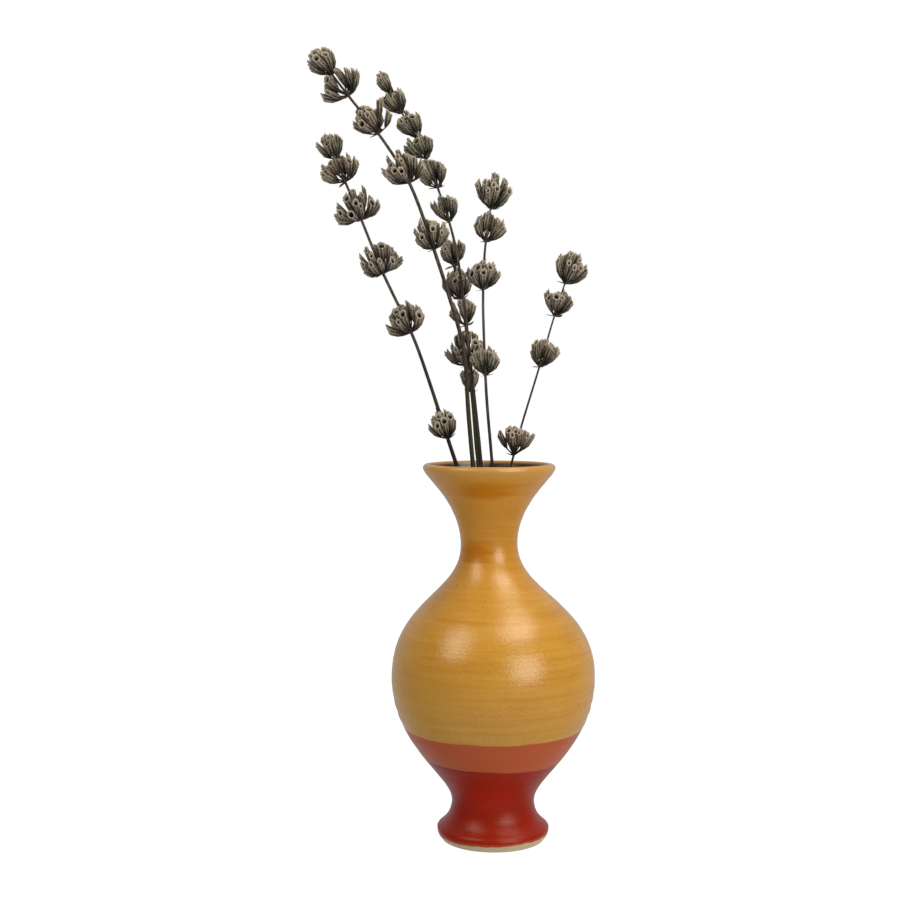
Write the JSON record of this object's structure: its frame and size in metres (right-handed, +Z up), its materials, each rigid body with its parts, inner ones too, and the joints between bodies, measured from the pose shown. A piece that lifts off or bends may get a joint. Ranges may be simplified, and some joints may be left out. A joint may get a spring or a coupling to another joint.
{
  "type": "bud vase",
  "caption": "Small thrown ceramic bud vase with a round belly, narrow neck and flared mouth, holding loose dried lavender sprigs that lift out.",
  "frame": {"origin": "centre of the vase's flat foot, on the surface it stands on", "axes": "+Z up along the vase's own axis, -Y towards the front, +X to the right seen from the front"},
  "size_m": [0.0902, 0.065, 0.2481],
  "materials": {
    "glazed_clay": "satin",
    "dried_stem": "matte",
    "dried_calyx": "matte"
  },
  "bodies": {
    "vase": {"vase_body": "glazed_clay"},
    "sprig_1": {"sprig_1_stem": "dried_stem", "sprig_1_whorl_1": "dried_calyx", "sprig_1_whorl_2": "dried_calyx", "sprig_1_whorl_3": "dried_calyx", "sprig_1_whorl_4": "dried_calyx", "sprig_1_whorl_5": "dried_calyx", "sprig_1_whorl_6": "dried_calyx"},
    "sprig_2": {"sprig_2_stem": "dried_stem", "sprig_2_whorl_1": "dried_calyx", "sprig_2_whorl_2": "dried_calyx", "sprig_2_whorl_3": "dried_calyx", "sprig_2_whorl_4": "dried_calyx", "sprig_2_whorl_5": "dried_calyx"},
    "sprig_3": {"sprig_3_stem": "dried_stem", "sprig_3_whorl_1": "dried_calyx", "sprig_3_whorl_2": "dried_calyx", "sprig_3_whorl_3": "dried_calyx", "sprig_3_whorl_4": "dried_calyx", "sprig_3_whorl_5": "dried_calyx", "sprig_3_whorl_6": "dried_calyx"},
    "sprig_4": {"sprig_4_stem": "dried_stem", "sprig_4_whorl_1": "dried_calyx", "sprig_4_whorl_2": "dried_calyx", "sprig_4_whorl_3": "dried_calyx", "sprig_4_whorl_4": "dried_calyx", "sprig_4_whorl_5": "dried_calyx"},
    "sprig_5": {"sprig_5_stem": "dried_stem", "sprig_5_whorl_1": "dried_calyx", "sprig_5_whorl_2": "dried_calyx", "sprig_5_whorl_3": "dried_calyx", "sprig_5_whorl_4": "dried_calyx"},
    "sprig_6": {"sprig_6_stem": "dried_stem", "sprig_6_whorl_1": "dried_calyx", "sprig_6_whorl_2": "dried_calyx", "sprig_6_whorl_3": "dried_calyx", "sprig_6_whorl_4": "dried_calyx"}
  },
  "joints": [
    {"name": "sprig_1_lift_out", "type": "slide", "parent": "vase", "child": "sprig_1", "axis": [-0.3176, 0, 0.9482], "range_m": [0, 0.1]},
    {"name": "sprig_2_lift_out", "type": "slide", "parent": "vase", "child": "sprig_2", "axis": [-0.099, -0.099, 0.9901], "range_m": [0, 0.117]},
    {"name": "sprig_3_lift_out", "type": "slide", "parent": "vase", "child": "sprig_3", "axis": [-0.0896, 0.0398, 0.9952], "range_m": [0, 0.115]},
    {"name": "sprig_4_lift_out", "type": "slide", "parent": "vase", "child": "sprig_4", "axis": [-0.1136, 0.1038, 0.9881], "range_m": [0, 0.113]},
    {"name": "sprig_5_lift_out", "type": "slide", "parent": "vase", "child": "sprig_5", "axis": [-0.0847, -0.0199, 0.9962], "range_m": [0, 0.115]},
    {"name": "sprig_6_lift_out", "type": "slide", "parent": "vase", "child": "sprig_6", "axis": [0.2607, 0, 0.9654], "range_m": [0, 0.098]}
  ]
}
